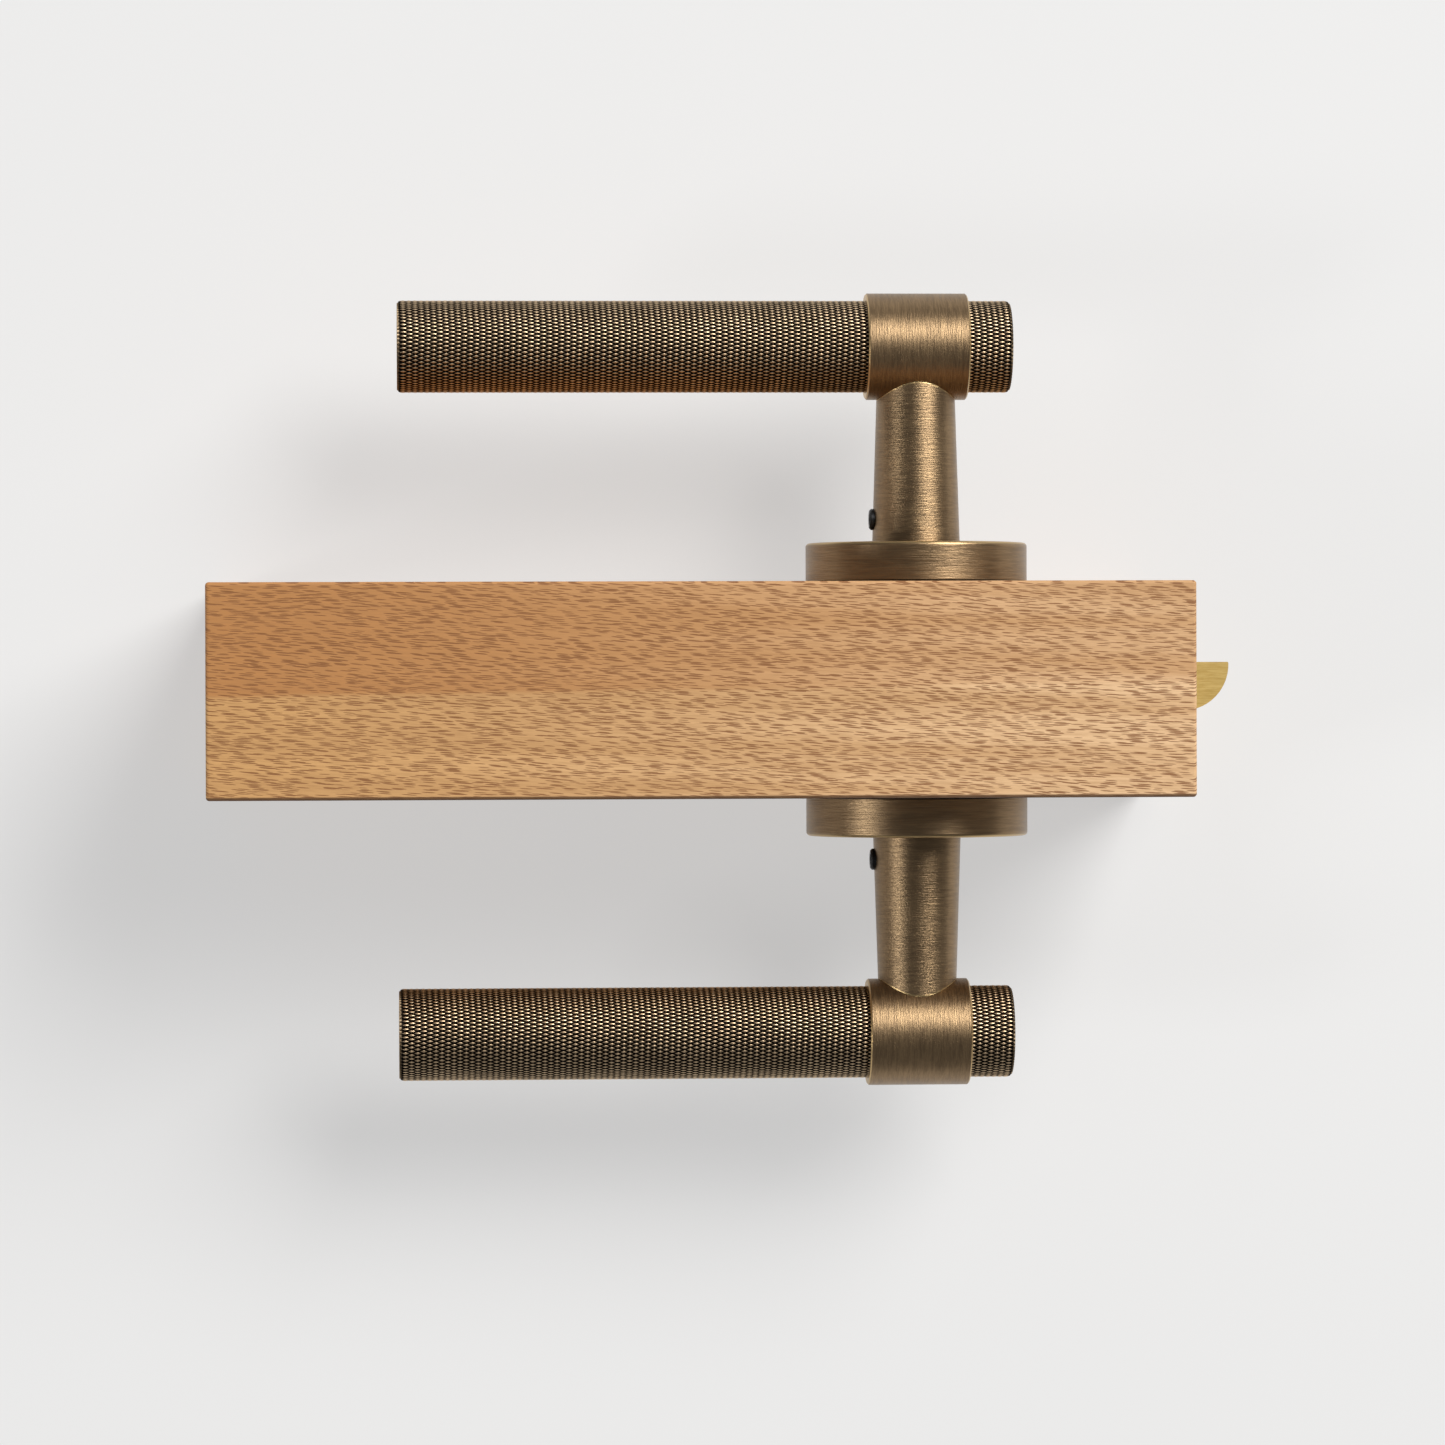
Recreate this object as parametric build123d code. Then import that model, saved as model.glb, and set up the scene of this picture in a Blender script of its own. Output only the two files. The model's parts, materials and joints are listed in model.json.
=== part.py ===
from build123d import *
import math
import os

# Door lever set on a beech display block, with the tubular latch that the levers work.
# Millimetres. +X points out of the block's latch edge, Y lies along the spindle, +Z is up.
# The origin is on the base, straight below the middle of the spindle.

# Display block
BLOCK_LENGTH = 225.5
BLOCK_THICKNESS = 49.5
BLOCK_HEIGHT = 92.0
BLOCK_EDGE_R = 0.8
AXIS_HEIGHT = 46.0  # spindle axis above the base
BACKSET = 60.0  # spindle axis to the latch edge
BORE_SPARE = 1.0  # length left free behind the latch case

# Roses
ROSE_D = 52.0
ROSE_DEPTH = 9.6  # block face to the front of the cover
ROSE_EDGE_R = 0.9
ROSE_EDGE_SHARE = 0.8  # most of the face's thickness that its rounded edge may take
ROSE_WALL = 1.4
ROSE_FACE = 1.8
ROSE_LIFT = 0.7  # shadow gap between cover and wood
PLATE_T = 3.0
COVER_FIT = 0.1  # plate rim inside the cover, radial
BOLT_PITCH = 38.0  # between the two through bolts
POST_D = 4.0  # stop post on the rose plate
POST_RADIUS = 17.5
POST_ANGLE = 200.0

# Necks, collars and grip bars
PROJECTION = 55.8  # block face to the axis of the grip bar
NECK_ROOT_D = 20.6  # at the front of the rose
NECK_TOP_D = 18.5  # at the nearest point of the collar
NECK_HOLE_GAP = 0.3  # neck to rose cover, radial
COLLAR_WALL = 1.7
COLLAR_WIDTH = 23.8
COLLAR_EDGE = 0.35
SADDLE_GAP = 0.05
BAR_D = 21.6
BAR_REACH = 121.8  # spindle axis to the long end
BAR_TAIL = 22.1  # spindle axis to the short end
BAR_EDGE = 0.6
BAR_FIT = 0.05

# Spindle, journals and what turns on them
SPINDLE_SIDE = 8.0
SPINDLE_REACH = 26.0  # past each face of the block
SPINDLE_FIT = 0.05
SPINDLE_EDGE = 0.5
JOURNAL_INSET = 10.6  # how far the journal reaches into the block
BUSH_WALL = 1.4
BUSH_FLANGE = 3.6
BUSH_FLANGE_T = 1.0
BUSH_INSET = 3.4
RUNNING_FIT = 0.05  # radial
CLIP_T = 0.9
CLIP_GROOVE = 0.6
STOP_WASHER_D = 40.0
STOP_WASHER_T = 1.6
STOP_FLAT_DEPTH = 1.0  # taken off each side of the journal for the washer
END_PLAY = 0.1
LEVER_TURN = 60.0  # degrees from rest to the stop
STOP_GAP = 0.3

# Return spring, around the journal inside the block
SPRING_WIRE = 1.4
SPRING_TURNS = 4.5
SPRING_PITCH = 1.85
SPRING_INSET = 1.3
LEG_GAP = 0.3
SPRING_GAP = 0.4  # inside and outside the coil, radial

# Screws
GRUB_D = 5.0
GRUB_FROM_ROSE = 5.6  # rose front to the screw's axis
GRUB_PROUD = 0.9
GRUB_KEY = 2.5
GRUB_EDGE = 0.4
THREAD_FIT = 0.05
BAR_SCREW_D = 5.0
BAR_SCREW_HEAD_GAP = 0.25  # head to socket, radial
BAR_SCREW_HEAD_T = 4.0
BAR_SCREW_PAST = 3.0  # past the axis of the bar
BAR_SCREW_KEY = 4.5  # across the corners of its socket
BOLT_D = 4.0
BOLT_SLOT_W = 1.0
SLEEVE_D = 6.0
SLEEVE_HOLE_D = 7.0
CAP_D = 7.6
CAP_T = 2.0
SLEEVE_REACH = 6.0  # past the middle of the block
BOLT_REACH = 8.0

# Tubular latch
LATCH_OFFSET = 0.5  # latch centre line from the middle of the block, towards +Y
CASE_D = 22.8
CASE_WALL = 0.6
CASE_FIT = 0.1
FACEPLATE_H = 57.0
FACEPLATE_PAST_CASE = 1.1  # each side
FACEPLATE_T = 3.0
FACEPLATE_R = 1.5
RECESS_FIT = 0.1
FACE_SCREW_PITCH = 42.0
FACE_SCREW_D = 3.5
FACE_SCREW_HEAD_D = 6.6
FACE_SCREW_LENGTH = 20.0
FACE_SCREW_TAPER = 7.0
FACE_SCREW_POINT_D = 0.7
FACE_SCREW_SLOT_W = 0.7
BOLT_THROW = 12.7
BOLT_TRAVEL = 11.0  # how far a full turn of the lever draws it in
BOLT_THICKNESS = 11.4
BOLT_CASE_GAP = 0.57  # corner of the bolt to the case
NOSE_FLAT = 0.6
BOLT_GUIDE_FIT = 0.1
BOLT_EDGE_R = 0.3
STEM_D = 5.0
STEM_SEAT = 5.0
BRIDGE_T = 2.0
BRIDGE_GAP = 0.4
BOLT_SPRING_WIRE = 0.9
BOLT_SPRING_MEAN_D = 11.0
BOLT_SPRING_TURNS = 5.0
FOLLOWER_HUB_WALL = 0.4  # outside the corners of the square hole
FOLLOWER_STEP = 0.9  # from the hub out to its journals
FOLLOWER_CHEEK = 4.4  # half the length between the follower's journals
ARM_GAP = 0.4  # tip of an arm to the case
ARM_TIP_R = 0.9
ARM_ROOT_W = 2.6
ARM_REST_ANGLE = 45.0  # tilt towards the bolt at rest
ARM_T = 4.4
TAIL_PLATE_T = 1.5
TAIL_INNER = 2.6  # centre line to the inside of each tail plate
TAIL_GAP = 0.55  # corner of a tail plate to the case
HUB_GAP = 0.5
WEB_T = 2.0
HOOK_LENGTH = 4.2
HOOK_LEAN = 1.3
HOOK_LEAD = 0.55  # hook face behind the arm's tip at rest
CASE_END_GAP = 1.5

# Worked out from the sizes above
JOURNAL_D = 2 * SPINDLE_SIDE
BUSH_D = JOURNAL_D + 2 * BUSH_WALL
BUSH_FLANGE_D = BUSH_D + 2 * BUSH_FLANGE
CLIP_D = BUSH_D
STOP_FLATS = JOURNAL_D - 2 * STOP_FLAT_DEPTH
SPRING_MEAN_D = BUSH_D + 2 * SPRING_GAP + SPRING_WIRE
CROSS_BORE_D = SPRING_MEAN_D + SPRING_WIRE + 2 * SPRING_GAP
COLLAR_D = BAR_D + 2 * COLLAR_WALL
BAR_SCREW_HEAD_D = SPINDLE_SIDE - 2 * BAR_SCREW_HEAD_GAP
FACEPLATE_W = CASE_D + 2 * FACEPLATE_PAST_CASE
FOLLOWER_HUB_D = math.sqrt(2) * SPINDLE_SIDE + 2 * FOLLOWER_HUB_WALL
FOLLOWER_JOURNAL_D = FOLLOWER_HUB_D + 2 * FOLLOWER_STEP
FACE_Y = BLOCK_THICKNESS / 2
BAR_Y = FACE_Y + PROJECTION
NECK_SEAT = PLATE_T + BUSH_FLANGE_T + STOP_WASHER_T + 2 * END_PLAY
SOCKET_END = SPINDLE_REACH + BAR_SCREW_HEAD_T + 2 * END_PLAY
CASE_INNER_R = CASE_D / 2 - CASE_WALL
ARM_REACH = CASE_INNER_R - ARM_GAP - ARM_TIP_R  # axis to the centre of the arm's round tip
TAIL_HALF_H = math.sqrt((CASE_INNER_R - TAIL_GAP) ** 2 - (TAIL_INNER + TAIL_PLATE_T) ** 2)
BOLT_HEIGHT = 2 * math.sqrt((CASE_INNER_R - BOLT_CASE_GAP) ** 2 - (BOLT_THICKNESS / 2) ** 2)
TAIL_BACK = -(FOLLOWER_HUB_D / 2 + HUB_GAP + WEB_T)
ARM_SWEEP = ARM_REACH + ARM_TIP_R
WEB_START = ARM_SWEEP + BOLT_TRAVEL + HUB_GAP
BRIDGE_START = WEB_START + WEB_T + BRIDGE_GAP
SPRING_SEAT = BRIDGE_START + BRIDGE_T
HEAD_BACK = SPRING_SEAT + BOLT_TRAVEL + BOLT_SPRING_TURNS * BOLT_SPRING_WIRE + HUB_GAP
CASE_BACK = TAIL_BACK - BOLT_TRAVEL - CASE_END_GAP

BASE = (Align.CENTER, Align.CENTER, Align.MIN)
AXLE = Plane(origin=(0, 0, AXIS_HEIGHT), x_dir=(1, 0, 0), z_dir=(0, 1, 0))
FACE = AXLE.offset(FACE_Y)
BAR = Plane(origin=(0, BAR_Y, AXIS_HEIGHT), x_dir=(0, 1, 0), z_dir=(1, 0, 0))
LATCH = Plane(origin=(0, LATCH_OFFSET, AXIS_HEIGHT), x_dir=(0, 1, 0), z_dir=(1, 0, 0))
LATCH_SIDE = Plane(origin=(0, LATCH_OFFSET, AXIS_HEIGHT), x_dir=(1, 0, 0), z_dir=(0, -1, 0))
LATCH_TOP = Plane(origin=(0, LATCH_OFFSET, AXIS_HEIGHT))


def rod(frame, radius, start, end):
    """A round bar along the frame's Z, from start to end."""
    return frame * Pos(0, 0, start) * Cylinder(radius, end - start, align=BASE)


def slab(frame, width, depth, start, end):
    """A rectangular bar along the frame's Z, centred on it."""
    return frame * Pos(0, 0, start) * Box(width, depth, end - start, align=BASE)


def cap(frame, head_d, shank_d, seat, top):
    """A countersunk head: a cone from the shank's size at seat to the head's size at top."""
    low, high = min(seat, top), max(seat, top)
    low_r, high_r = (shank_d / 2, head_d / 2) if seat < top else (head_d / 2, shank_d / 2)
    return frame * Pos(0, 0, low) * Cone(low_r, high_r, high - low, align=BASE)


def neck_radius(distance):
    """The neck's radius at a distance from the block's face, on its straight taper."""
    top = PROJECTION - COLLAR_D / 2
    share = (distance - ROSE_DEPTH) / (top - ROSE_DEPTH)
    return (NECK_ROOT_D + (NECK_TOP_D - NECK_ROOT_D) * share) / 2


def coil(frame, start, pitch, turns, mean_d, wire):
    """A helical wire along the frame's Z, starting on the frame's X."""
    path = Helix(pitch, pitch * turns, mean_d / 2)
    section = Plane(origin=path @ 0, z_dir=path % 0) * Circle(wire / 2)
    return frame * Pos(0, 0, start) * sweep(section, path=path)


def sector(inner, outer, low, high, first, last):
    """Part of a ring about Z, between two angles in degrees."""
    section = Plane.XZ * Pos((inner + outer) / 2, (low + high) / 2) * Rectangle(outer - inner, high - low)
    return Rot(0, 0, first) * revolve(section, Axis.Z, revolution_arc=last - first)


def display_block():
    centre = Pos(BACKSET - BLOCK_LENGTH / 2, 0, BLOCK_HEIGHT / 2)
    block = centre * Box(BLOCK_LENGTH, BLOCK_THICKNESS, BLOCK_HEIGHT)
    block = fillet(block.edges(), BLOCK_EDGE_R)
    block -= rod(AXLE, CROSS_BORE_D / 2, -BLOCK_THICKNESS, BLOCK_THICKNESS)
    block -= rod(LATCH, CASE_D / 2 + CASE_FIT, CASE_BACK - CASE_WALL - BORE_SPARE, BACKSET)
    block -= faceplate_blank(RECESS_FIT, BACKSET - FACEPLATE_T, BACKSET + BLOCK_EDGE_R)
    for height in (-BOLT_PITCH / 2, BOLT_PITCH / 2):
        frame = AXLE * Pos(0, height, 0)
        block -= rod(Plane(frame), SLEEVE_HOLE_D / 2, -BLOCK_THICKNESS, BLOCK_THICKNESS)
    for height in (-FACE_SCREW_PITCH / 2, FACE_SCREW_PITCH / 2):
        frame = Plane(LATCH * Pos(0, height, 0))
        block -= rod(frame, FACE_SCREW_D / 2 + THREAD_FIT, BACKSET - FACE_SCREW_LENGTH - BORE_SPARE, BACKSET)
    return block


def rose_cover():
    cover = rod(FACE, ROSE_D / 2, ROSE_LIFT, ROSE_DEPTH)
    rim = cover.edges().filter_by(GeomType.CIRCLE).sort_by(Axis.Y)[-1]
    cover = fillet(rim, min(ROSE_EDGE_R, ROSE_EDGE_SHARE * ROSE_FACE))
    cover -= rod(FACE, ROSE_D / 2 - ROSE_WALL, 0, ROSE_DEPTH - ROSE_FACE)
    hole = neck_radius(ROSE_DEPTH - ROSE_FACE) + NECK_HOLE_GAP
    return cover - rod(FACE, hole, 0, ROSE_DEPTH + ROSE_EDGE_R)


def rose_plate(shank_d):
    plate = rod(FACE, ROSE_D / 2 - ROSE_WALL - COVER_FIT, 0, PLATE_T)
    plate -= rod(FACE, BUSH_D / 2 + THREAD_FIT, 0, PLATE_T)
    for height in (-BOLT_PITCH / 2, BOLT_PITCH / 2):
        frame = Plane(FACE * Pos(0, height, 0))
        plate -= rod(frame, shank_d / 2 + THREAD_FIT, 0, PLATE_T)
        seat = PLATE_T - CAP_T
        plate -= cap(frame, CAP_D + 2 * THREAD_FIT, shank_d + 2 * THREAD_FIT, seat, PLATE_T)
    leg = Plane(FACE * Pos(-SPRING_MEAN_D / 2, 0, 0))
    plate -= rod(leg, SPRING_WIRE / 2 + LEG_GAP, 0, PLATE_T - END_PLAY)
    post = Plane(FACE * Rot(0, 0, POST_ANGLE) * Pos(POST_RADIUS, 0, 0))
    return plate + rod(post, POST_D / 2, PLATE_T / 2, NECK_SEAT)


def rose_bush():
    bush = rod(FACE, BUSH_D / 2, -BUSH_INSET, PLATE_T)
    bush += rod(FACE, BUSH_FLANGE_D / 2, PLATE_T, PLATE_T + BUSH_FLANGE_T)
    return bush - rod(FACE, JOURNAL_D / 2 + RUNNING_FIT, -BUSH_INSET, PLATE_T + BUSH_FLANGE_T)


def stop_washer():
    low = PLATE_T + BUSH_FLANGE_T + END_PLAY
    high = low + STOP_WASHER_T
    flats = slab(FACE, STOP_FLATS + 2 * SPINDLE_FIT, JOURNAL_D * 2, low, high)
    washer = rod(FACE, STOP_WASHER_D / 2, low, high)
    washer -= rod(FACE, JOURNAL_D / 2 + SPINDLE_FIT, low, high) & flats
    half_post = math.degrees(math.asin((POST_D / 2 + STOP_GAP) / POST_RADIUS))
    inner = POST_RADIUS - POST_D / 2 - STOP_GAP
    first = POST_ANGLE - half_post
    last = POST_ANGLE + LEVER_TURN + half_post
    return washer - FACE * sector(inner, STOP_WASHER_D, low, high, first, last)


def spring_leg_place():
    """How far inside the block's face the return spring's inner leg lies."""
    return -(SPRING_INSET + SPRING_PITCH * SPRING_TURNS)


def return_spring():
    radius = SPRING_MEAN_D / 2
    inner = spring_leg_place()
    spring = coil(FACE, inner, SPRING_PITCH, SPRING_TURNS, SPRING_MEAN_D, SPRING_WIRE)
    leg = Plane(FACE * Pos(-radius, 0, 0))
    spring += rod(leg, SPRING_WIRE / 2, -SPRING_INSET, PLATE_T - 3 * END_PLAY)
    spring += leg * Pos(0, 0, -SPRING_INSET) * Sphere(SPRING_WIRE / 2)
    hook = Plane(FACE * Pos(radius, 0, inner) * Rot(0, -90, 0))
    spring += rod(hook, SPRING_WIRE / 2, 0, radius - JOURNAL_D / 2 + SPRING_WIRE)
    return spring + hook * Sphere(SPRING_WIRE / 2)


def retaining_clip():
    start = -(BUSH_INSET + END_PLAY + CLIP_T)
    end = start + CLIP_T
    clip = rod(FACE, CLIP_D / 2, start, end)
    clip -= rod(FACE, JOURNAL_D / 2 - CLIP_GROOVE + THREAD_FIT, start, end)
    gap = FACE * Pos(0, CLIP_D / 2, start) * Box(JOURNAL_D / 2, CLIP_D, CLIP_T, align=BASE)
    return clip - gap


def grub_frame():
    place = FACE_Y + ROSE_DEPTH + GRUB_FROM_ROSE
    return Plane(origin=(0, place, AXIS_HEIGHT), x_dir=(0, 0, 1), z_dir=(-1, 0, 0))


def lever_neck():
    taper = Cone(neck_radius(NECK_SEAT), neck_radius(PROJECTION), PROJECTION - NECK_SEAT, align=BASE)
    neck = FACE * Pos(0, 0, NECK_SEAT) * taper
    neck -= rod(BAR, COLLAR_D / 2 + SADDLE_GAP, -COLLAR_WIDTH, COLLAR_WIDTH)
    washer_start = PLATE_T + BUSH_FLANGE_T + END_PLAY / 2
    neck += rod(FACE, JOURNAL_D / 2, -JOURNAL_INSET, washer_start)
    flats = slab(FACE, STOP_FLATS, JOURNAL_D, washer_start, NECK_SEAT)
    neck += rod(FACE, JOURNAL_D / 2, washer_start, NECK_SEAT) & flats
    groove_start = -(BUSH_INSET + END_PLAY + CLIP_T + THREAD_FIT)
    groove_end = groove_start + CLIP_T + 2 * THREAD_FIT
    groove = rod(FACE, JOURNAL_D, groove_start, groove_end)
    groove -= rod(FACE, JOURNAL_D / 2 - CLIP_GROOVE, groove_start, groove_end)
    neck -= groove
    socket = SPINDLE_SIDE + 2 * SPINDLE_FIT
    neck -= slab(FACE, socket, socket, -JOURNAL_INSET, SOCKET_END)
    neck -= rod(FACE, BAR_SCREW_D / 2 + THREAD_FIT, SOCKET_END, PROJECTION)
    slot_end = spring_leg_place() + SPRING_WIRE / 2 + LEG_GAP
    slot = Pos(JOURNAL_D / 2, 0, -JOURNAL_INSET) * Box(
        JOURNAL_D, SPRING_WIRE + 2 * LEG_GAP, slot_end + JOURNAL_INSET, align=BASE
    )
    neck -= FACE * slot
    return neck - rod(grub_frame(), GRUB_D / 2 + THREAD_FIT, 0, NECK_ROOT_D)


def lever_collar():
    collar = rod(BAR, COLLAR_D / 2, -COLLAR_WIDTH / 2, COLLAR_WIDTH / 2)
    collar = chamfer(collar.edges().filter_by(GeomType.CIRCLE), COLLAR_EDGE)
    collar -= rod(BAR, BAR_D / 2 + BAR_FIT, -COLLAR_WIDTH, COLLAR_WIDTH)
    return collar - rod(FACE, BAR_SCREW_D / 2 + THREAD_FIT, NECK_SEAT, PROJECTION)


def grip_bar():
    bar = rod(BAR, BAR_D / 2, -BAR_REACH, BAR_TAIL)
    bar = chamfer(bar.edges().filter_by(GeomType.CIRCLE), BAR_EDGE)
    hole_end = PROJECTION + BAR_SCREW_PAST + END_PLAY
    return bar - rod(FACE, BAR_SCREW_D / 2 + THREAD_FIT, NECK_SEAT, hole_end)


def bar_screw():
    head_start = SOCKET_END - BAR_SCREW_HEAD_T
    screw = rod(FACE, BAR_SCREW_HEAD_D / 2, head_start, SOCKET_END)
    screw += rod(FACE, BAR_SCREW_D / 2, SOCKET_END, PROJECTION + BAR_SCREW_PAST)
    key = FACE * Pos(0, 0, head_start) * extrude(RegularPolygon(BAR_SCREW_KEY / 2, 6), BAR_SCREW_HEAD_T / 2)
    return screw - key


def grub_screw():
    frame = grub_frame()
    outer = neck_radius(ROSE_DEPTH + GRUB_FROM_ROSE) + GRUB_PROUD
    screw = rod(frame, GRUB_D / 2, SPINDLE_SIDE / 2 + THREAD_FIT, outer)
    screw = chamfer(screw.edges().filter_by(GeomType.CIRCLE), GRUB_EDGE)
    socket = extrude(RegularPolygon(GRUB_KEY / 2, 6, major_radius=False), -GRUB_KEY)
    return screw - frame * Pos(0, 0, outer) * socket


def spindle():
    half = FACE_Y + SPINDLE_REACH
    bar = slab(AXLE, SPINDLE_SIDE, SPINDLE_SIDE, -half, half)
    return chamfer(bar.edges().filter_by(Axis.Y), SPINDLE_EDGE)


def at_bolt_places(piece):
    """Two copies of a piece, one on each through-bolt axis."""
    return [Pos(0, 0, height) * piece for height in (-BOLT_PITCH / 2, BOLT_PITCH / 2)]


def through_bolts():
    top = -(FACE_Y + PLATE_T)
    bolt = cap(AXLE, CAP_D, BOLT_D, top + CAP_T, top)
    bolt += rod(AXLE, BOLT_D / 2, top + CAP_T, BOLT_REACH)
    slot = Pos(0, 0, top) * Box(CAP_D, BOLT_SLOT_W, CAP_T / 2, align=BASE)
    return at_bolt_places(bolt - AXLE * slot)


def bolt_sleeves():
    top = FACE_Y + PLATE_T
    sleeve = cap(AXLE, CAP_D, SLEEVE_D, top - CAP_T, top)
    sleeve += rod(AXLE, SLEEVE_D / 2, -SLEEVE_REACH, top - CAP_T)
    return at_bolt_places(sleeve - rod(AXLE, BOLT_D / 2 + THREAD_FIT, -SLEEVE_REACH, BOLT_REACH + 1))


def faceplate_blank(spare, start, end):
    """The faceplate's outline along X, larger all round by spare."""
    blank = slab(LATCH, FACEPLATE_W + 2 * spare, FACEPLATE_H + 2 * spare, start, end)
    return fillet(blank.edges().filter_by(Axis.X), FACEPLATE_R)


def latch_faceplate():
    start = BACKSET - FACEPLATE_T
    plate = faceplate_blank(0, start, BACKSET)
    fit = 2 * BOLT_GUIDE_FIT
    plate -= slab(LATCH, BOLT_THICKNESS + fit, BOLT_HEIGHT + fit, start, BACKSET)
    for height in (-FACE_SCREW_PITCH / 2, FACE_SCREW_PITCH / 2):
        frame = Plane(LATCH * Pos(0, height, 0))
        plate -= rod(frame, FACE_SCREW_D / 2 + THREAD_FIT, start, BACKSET)
        plate -= screw_cap(frame, THREAD_FIT)
    return plate


def screw_cap(frame, spare):
    """The countersunk head of a faceplate screw, or its seat where spare is above zero."""
    depth = (FACE_SCREW_HEAD_D - FACE_SCREW_D) / 2
    return cap(frame, FACE_SCREW_HEAD_D + 2 * spare, FACE_SCREW_D + 2 * spare, BACKSET - depth, BACKSET)


def faceplate_screws():
    depth = (FACE_SCREW_HEAD_D - FACE_SCREW_D) / 2
    point = BACKSET - FACE_SCREW_LENGTH
    taper_start = point + FACE_SCREW_TAPER
    screw = screw_cap(LATCH, 0)
    screw += rod(LATCH, FACE_SCREW_D / 2, taper_start, BACKSET - depth)
    tip = Cone(FACE_SCREW_POINT_D / 2, FACE_SCREW_D / 2, FACE_SCREW_TAPER, align=BASE)
    screw += LATCH * Pos(0, 0, point) * tip
    for turn in (0, 90):
        slot = Rot(0, 0, turn) * Box(FACE_SCREW_D, FACE_SCREW_SLOT_W, depth, align=BASE)
        screw -= LATCH * Pos(0, 0, BACKSET - depth) * slot
    return [Pos(0, 0, height) * screw for height in (-FACE_SCREW_PITCH / 2, FACE_SCREW_PITCH / 2)]


def latch_case():
    front = BACKSET - FACEPLATE_T
    case = rod(LATCH, CASE_D / 2, CASE_BACK - CASE_WALL, front)
    case -= rod(LATCH, CASE_INNER_R, CASE_BACK, front)
    return case - rod(AXLE, FOLLOWER_JOURNAL_D / 2 + RUNNING_FIT, -CASE_D, CASE_D)


def spring_bridge():
    bridge = rod(LATCH, CASE_INNER_R - THREAD_FIT, BRIDGE_START, SPRING_SEAT)
    return bridge - rod(LATCH, STEM_D / 2 + RUNNING_FIT, BRIDGE_START, SPRING_SEAT)


def bolt_spring():
    start = SPRING_SEAT + BOLT_SPRING_WIRE / 2 + END_PLAY
    end = HEAD_BACK - BOLT_SPRING_WIRE / 2 - END_PLAY
    pitch = (end - start) / BOLT_SPRING_TURNS
    return coil(LATCH, start, pitch, BOLT_SPRING_TURNS, BOLT_SPRING_MEAN_D, BOLT_SPRING_WIRE)


def latch_bolt():
    tip = BACKSET + BOLT_THROW
    half = BOLT_THICKNESS / 2
    nose = BOLT_THICKNESS - NOSE_FLAT
    outline = [
        Line((HEAD_BACK, -half), (tip - nose, -half)),
        CenterArc((tip - nose, nose - half), nose, -90, 90),
        Line((tip, nose - half), (tip, half)),
        Line((tip, half), (HEAD_BACK, half)),
        Line((HEAD_BACK, half), (HEAD_BACK, -half)),
    ]
    head = extrude(LATCH_TOP * make_face(outline), BOLT_HEIGHT / 2, both=True)
    corner = head.edges().filter_by(Axis.Z).group_by(Axis.X)[-1].sort_by(Axis.Y)[-1]
    head = fillet(corner, BOLT_EDGE_R)
    return head - rod(LATCH, STEM_D / 2 + THREAD_FIT, HEAD_BACK, HEAD_BACK + STEM_SEAT)


def latch_tail():
    half_slot = FOLLOWER_HUB_D / 2 + HUB_GAP
    middle = TAIL_INNER + TAIL_PLATE_T / 2
    web_end = WEB_START + WEB_T
    tail = slab(LATCH, 2 * TAIL_INNER + 2 * TAIL_PLATE_T, 2 * TAIL_HALF_H, WEB_START, web_end)
    for side in (-middle, middle):
        plate = slab(Plane(LATCH * Pos(side, 0, 0)), TAIL_PLATE_T, 2 * TAIL_HALF_H, TAIL_BACK, web_end)
        tail += plate - slab(LATCH, CASE_D, 2 * half_slot, -half_slot, BOLT_TRAVEL + half_slot)
    tip_angle = math.radians(ARM_REST_ANGLE)
    foot = ARM_REACH * math.sin(tip_angle) - ARM_TIP_R - HOOK_LEAD
    for up in (1, -1):
        corners = [
            (foot - HOOK_LEAN, up * half_slot),
            (foot, up * TAIL_HALF_H),
            (foot - HOOK_LENGTH, up * TAIL_HALF_H),
            (foot - HOOK_LENGTH, up * half_slot),
        ]
        hook = LATCH_SIDE * make_face(Polyline(*corners, close=True))
        tail += extrude(hook, TAIL_INNER, both=True)
    return tail + rod(LATCH, STEM_D / 2, web_end, HEAD_BACK + STEM_SEAT)


def latch_follower():
    middle = Plane(AXLE * Pos(0, 0, LATCH_OFFSET))
    end = CASE_D / 2
    follower = rod(middle, FOLLOWER_HUB_D / 2, -end, end)
    follower += rod(middle, FOLLOWER_JOURNAL_D / 2, -end, -FOLLOWER_CHEEK)
    follower += rod(middle, FOLLOWER_JOURNAL_D / 2, FOLLOWER_CHEEK, end)
    root, half_root = FOLLOWER_HUB_D / 4, ARM_ROOT_W / 2
    corners = [(-half_root, root), (half_root, root), (ARM_TIP_R, ARM_REACH), (-ARM_TIP_R, ARM_REACH)]
    arm = make_face(Polyline(*corners, close=True)) + Pos(0, ARM_REACH) * Circle(ARM_TIP_R)
    for angle in (-ARM_REST_ANGLE, ARM_REST_ANGLE - 180):
        follower += extrude(LATCH_SIDE * Rot(0, 0, angle) * arm, ARM_T / 2, both=True)
    socket = SPINDLE_SIDE + 2 * SPINDLE_FIT
    return follower - slab(middle, socket, socket, -end, end)


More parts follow.
